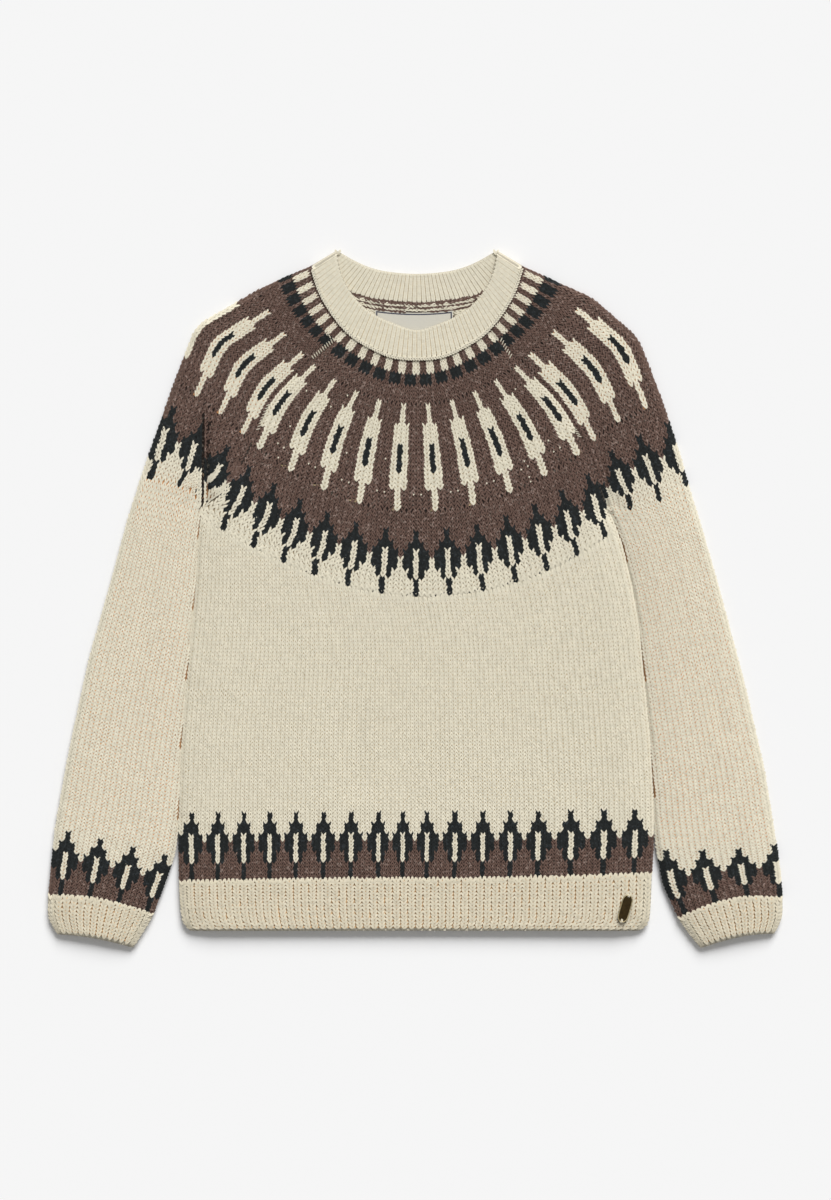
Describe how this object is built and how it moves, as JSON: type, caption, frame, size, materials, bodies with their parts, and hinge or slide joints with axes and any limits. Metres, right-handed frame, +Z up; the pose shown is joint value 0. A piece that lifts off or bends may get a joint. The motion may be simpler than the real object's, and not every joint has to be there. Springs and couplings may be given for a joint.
{
  "type": "fair isle jumper",
  "caption": "Knitted raglan crew-neck jumper laid flat, front up, with ribbed neckband, cuffs and hem and a patterned yoke.",
  "frame": {"origin": "middle of the outline in plan, on the surface that the jumper lies on", "axes": "+X towards the wearer's left sleeve, +Y towards the neck, +Z up out of the front"},
  "size_m": [0.662, 0.6284, 0.0109],
  "materials": {
    "cream_wool": "matte knit with brown and black motifs",
    "cream_rib": "matte ribbed knit",
    "woven_label": "satin woven tape",
    "aged_brass": "dull, aged"
  },
  "bodies": {
    "root": {"front": "cream_wool", "back": "cream_wool", "sleeve_right": "cream_wool", "sleeve_left": "cream_wool", "neckband": "cream_rib", "hem_rib_front": "cream_rib", "hem_rib_back": "cream_rib", "cuff_right": "cream_rib", "cuff_left": "cream_rib", "neck_label": "woven_label", "hem_plate": "aged_brass"}
  },
  "joints": []
}
